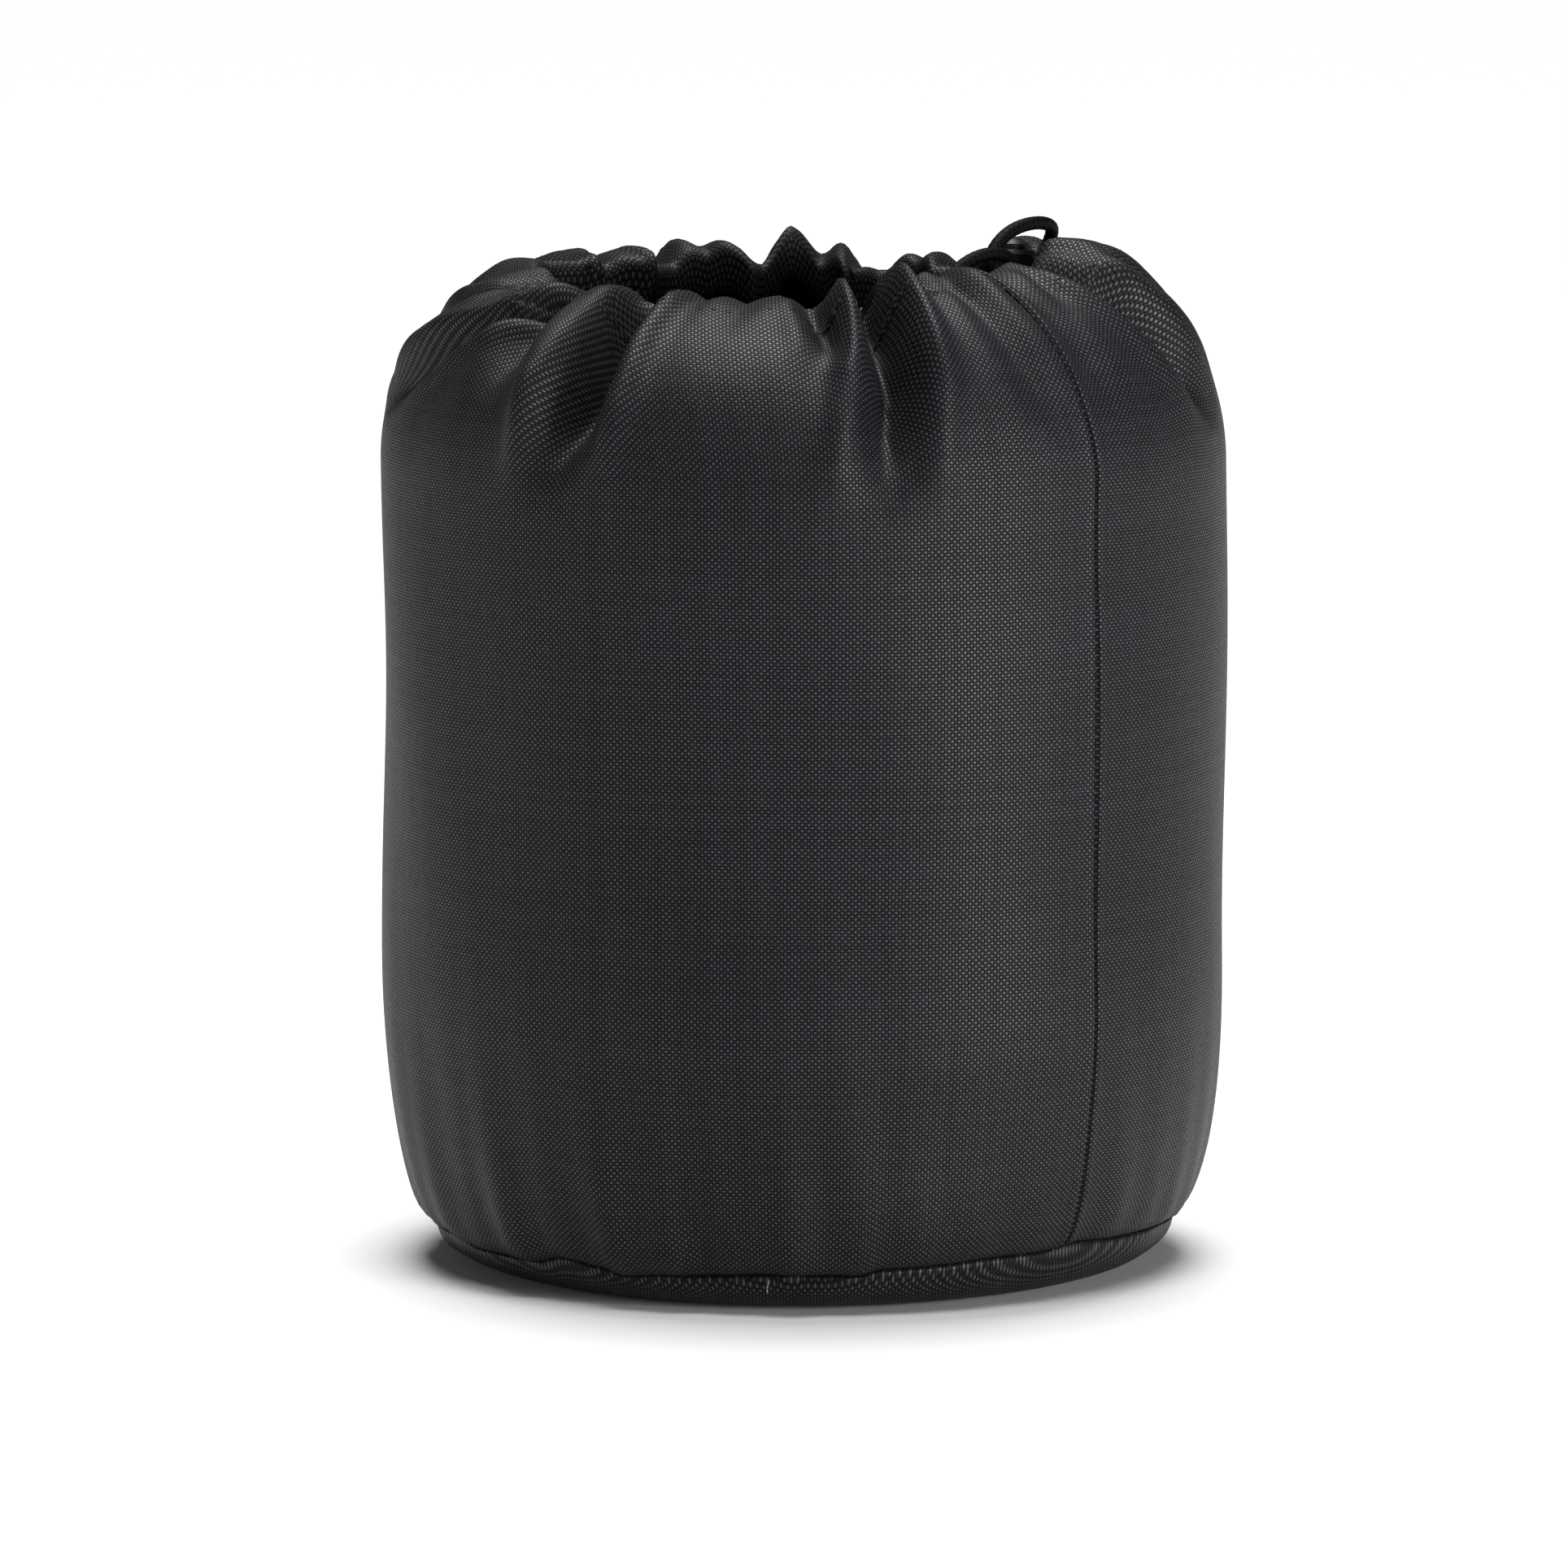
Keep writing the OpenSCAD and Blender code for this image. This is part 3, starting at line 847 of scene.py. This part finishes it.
def allowances(material, thread):
    """The raw edges inside the sack, two layers each, with overlock thread along them."""
    # side seam: two layers folded to one side
    along = np.linspace(4, SIDE_L - HEM_W - 4, 90)
    steps = np.linspace(0.2, 6.4, 7)
    points = []
    for s in along:
        points.append(side_point(SEAM_ANGLE + steps, np.full(len(steps), s), -1.3 + 0.25 * np.sin(s / 9)))
    points = np.array(points)
    faces = grid_faces(len(along), len(steps), closed=False)
    uv = [(steps[v % len(steps)] * 1.66 * MM, along[v // len(steps)] * MM) for f in faces for v in f]
    piece = new_piece("side_seam_edges", points.reshape(-1, 3), faces, uv, material)
    thicken(piece, ALLOWANCE_T)
    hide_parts("side_seam_allowance")
    edge = []
    for k in range(150):
        s = 5 + k * (SIDE_L - HEM_W - 10) / 150
        first = side_point(SEAM_ANGLE + 6.5, s, -1.9)
        last = side_point(SEAM_ANGLE + 4.7, s + 0.8, -2.0)
        edge.append(stitch(first, last, np.zeros(3), 0.16, steps=3))
    points, faces, uv = joined(edge)
    new_piece("side_seam_overlock", points, faces, uv, thread)
    # base seam: a ring of two layers lying on the base
    columns = 240
    a = np.radians(np.arange(columns) * 360 / columns)
    rows = []
    reach = 10.2
    for k, r in enumerate(np.linspace(BASE_SEAM_R - 1.2, BASE_SEAM_R - 1.2 - reach, 8)):
        share = k / 7
        z = BASE_SEAM_Z + 0.9 + round_table(SEAM_LIFT, np.degrees(a)) * (1 - 0.7 * share)
        z = z + 0.5 * share * wander(31, 14 * a)
        rows.append(np.stack([r * np.sin(a), -r * np.cos(a), z], 1))
    points = np.vstack(rows)
    faces = [f[::-1] for f in grid_faces(8, columns)]
    uv = [
        (np.degrees(a[v % columns]) / 360 * 0.53, (v // columns) * reach * MM / 7) for f in faces for v in f
    ]
    piece = new_piece("base_seam_edges", points, faces, uv, material)
    thicken(piece, ALLOWANCE_T)
    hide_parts("base_seam_allowance")
    edge = []
    for k in range(190):
        i = k * columns // 190
        first, last = rows[7][i] + (0, 0, 0.1), rows[5][(i + 1) % columns] + (0, 0, 0.1)
        edge.append(stitch(first, last, np.array([0, 0, 0.3]), 0.16, steps=3))
    points, faces, uv = joined(edge)
    new_piece("base_seam_overlock", points, faces, uv, thread)


def loose_thread(material):
    """The cut end of the base seam's thread."""
    line = smooth_line([(-7.6, -84.3, 8.4), (-7.9, -85.0, 7.6), (-8.2, -85.1, 6.6), (-8.0, -84.6, 5.6)], 0.3)
    points, faces, uv = tube_mesh(line, 0.14, 8)
    new_piece("loose_thread_end", points, faces, uv, material)


# ---------------------------------------------------------------- cord and lock

RIGHT_ROUTE = [
    (60.0, 7.4, 224.2), (60.4, 3.4, 224.2), (59.4, -0.6, 224.0), (57.0, -4.0, 223.9),
    (54.0, -6.8, 225.2), (53.8, -8.8, 228.8), (55.6, -11.6, 232.6), (55.8, -16.2, 235.2),
    (52.0, -21.4, 236.3), (46.8, -26.4, 235.3), (43.4, -30.4, 232.9), (41.0, -33.2, 229.4),
    (40.2, -33.4, 225.2), (41.2, -31.0, 221.8), (43.0, -27.2, 221.2), (44.2, -23.4, 222.2),
    (44.4, -17.0, 221.5), (44.4, -11.0, 220.4), (44.4, -5.0, 219.4), (44.4, 1.0, 218.3),
    (44.4, 5.6, 216.4), (44.4, 9.0, 212.6), (44.4, 11.0, 207.0), (44.4, 11.5, 198.0),
    (44.4, 11.5, 182.0), (44.4, 11.5, 166.0), (44.4, 11.5, 152.0), (44.4, 11.5, 141.0),
]
LEFT_ROUTE = [
    (20.7, -56.8, 224.2), (24.6, -55.4, 224.2), (28.0, -52.6, 224.2), (29.8, -48.9, 223.9),
    (31.6, -45.4, 225.0), (34.4, -42.4, 227.8), (38.4, -39.6, 230.0), (42.4, -36.2, 230.4),
    (45.6, -32.4, 229.2), (47.0, -29.2, 226.8), (47.5, -26.4, 224.4), (47.6, -23.6, 222.8),
    (47.6, -17.0, 221.5), (47.6, -11.0, 220.4), (47.6, -5.0, 219.4), (47.6, 1.0, 218.3),
    (47.6, 5.6, 216.4), (47.6, 9.0, 212.6), (47.6, 11.0, 207.0), (47.6, 11.5, 198.0),
    (47.6, 11.5, 182.0), (47.6, 11.5, 166.0), (47.6, 11.5, 152.0), (47.6, 11.5, 141.0),
]


def plaits(turn, along):
    """Relief of a round braid with eight plaits in view round it."""
    k = math.pi / 1.6
    crossing = np.sin(4 * turn + k * along) * np.sin(4 * turn - k * along)
    return 0.06 * (np.sqrt(np.abs(crossing)) - 0.75)


def eased(line, rounds=40):
    """A line with its kinks evened out, its ends left where they are."""
    for _ in range(rounds):
        line[1:-1] = line[:-2] / 4 + line[1:-1] / 2 + line[2:] / 4
    return line


def cord_tube(name, line, material):
    points, faces, uv = tube_mesh(line, CORD_R, 32, plaits)
    return new_piece(name, points, faces, uv, material)


def drawcord(material):
    """The cord in its hem, its two free ends and the knot that joins them."""
    turn = np.linspace(RING_FROM, RING_TO, 700)
    fade = step_between(turn, RING_FROM, RING_FROM + 8) * (1 - step_between(turn, RING_TO - 8, RING_TO))
    a = np.radians(turn)
    ring = np.stack([RING_R * np.sin(a), -RING_R * np.cos(a), np.full(700, RING_Z)], 1)
    ring = ring + (hem_point(turn, RING_R, RING_Z) - ring) * fade[:, None]
    piece = cord_tube("cord_in_hem", ring, material)
    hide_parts("drawcord_in_hem")

    # the knot: one loop drawn up round both ends, with its cut ends below
    t = np.linspace(0, 2 * math.pi, 140)
    knot = np.stack([
        1.28 * (np.sin(t) + 2 * np.sin(2 * t)), -1.5 * np.sin(3 * t), 1.28 * (np.cos(t) - 2 * np.cos(2 * t)),
    ], 1) + np.array([46.0, 11.5, 136.4])
    ends = [
        smooth_line(
            [(x, 11.5, 134), (x + s * 0.8, 11.3, 129), (x + s * 2.2, 11.6, 124), (x + s * 3, 12, 120)], 0.4
        )
        for x, s in ((44.4, -1), (47.6, 1))
    ]
    parts = [tube_mesh(line, CORD_R, 24, plaits) for line in (knot, *ends)]
    points, faces, uv = joined(parts)
    tie = new_piece("cord_knot", points, faces, uv, material)
    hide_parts("drawcord_knot")

    for name, route, node, going in (
        ("cord_right_end", RIGHT_ROUTE, "drawcord_right_end", [tie]),
        ("cord_left_end", LEFT_ROUTE, "drawcord_left_end", []),
    ):
        line = eased(smooth_line(route, 0.4))
        piece = cord_tube(name, line, material)
        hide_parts(node)


LOCK_AT = np.array([46.0, -17.0, 221.5])
LOCK_LEAN = math.radians(10)
LOCK_UP = np.array([0, math.sin(LOCK_LEAN), math.cos(LOCK_LEAN)])
LOCK_ALONG = np.array([0, math.cos(LOCK_LEAN), -math.sin(LOCK_LEAN)])


def lock_spring(material):
    """The compression spring under the plunger, with its ends closed."""
    low, high, turns, r = -7.4, -3.1, 3.0, 3.4
    t = np.linspace(0, turns + 1.2, 190)
    rise = np.clip((t - 0.6) / turns, 0, 1)
    a = 2 * math.pi * t
    line = (
        LOCK_AT + (r * np.cos(a))[:, None] * np.array([1.0, 0, 0])
        + (r * np.sin(a))[:, None] * LOCK_ALONG + (low + (high - low) * rise)[:, None] * LOCK_UP
    )
    points, faces, uv = tube_mesh(line, 0.2, 10)
    piece = new_piece("plunger_spring", points, faces, uv, material, body="cord_lock")
    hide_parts("cord_lock_spring")
    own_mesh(piece)


def repaint(node, material):
    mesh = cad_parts[node].data
    mesh.materials.clear()
    mesh.materials.append(material)


# ---------------------------------------------------------------- the scene

add_camera()
add_studio()
bpy.ops.object.select_all(action="DESELECT")

cord_black = braid("black_round_braid")
drawcord(cord_black)

# in each weave the dark colour is painted shade between the threads and the light colour is painted
# highlight on their crowns
oxford = woven("black_oxford", (0.0016, 0.0016, 0.0021), (0.036, 0.036, 0.042))
inside = woven("oxford_back", (0.012, 0.012, 0.013), (0.05, 0.05, 0.055), sheen=0.05, relief=0.00012)
thread = twisted_thread("black_thread", (0.001, 0.001, 0.0012), (0.006, 0.006, 0.007))
charcoal = twisted_thread("charcoal_thread", (0.008, 0.008, 0.009), (0.028, 0.028, 0.031))
pale_thread = twisted_thread("loose_thread", (0.10, 0.10, 0.105), (0.30, 0.30, 0.31))
plastic = moulded_plastic("lock_plastic")

base_cloth(oxford)
side_cloth(oxford)
seam_stitches(thread, charcoal)
buttonholes(thread)
allowances(inside, thread)
loose_thread(pale_thread)
lock_spring(spring_steel("spring_wire"))
repaint("cord_lock_barrel", plastic)
repaint("cord_lock_plunger", plastic)
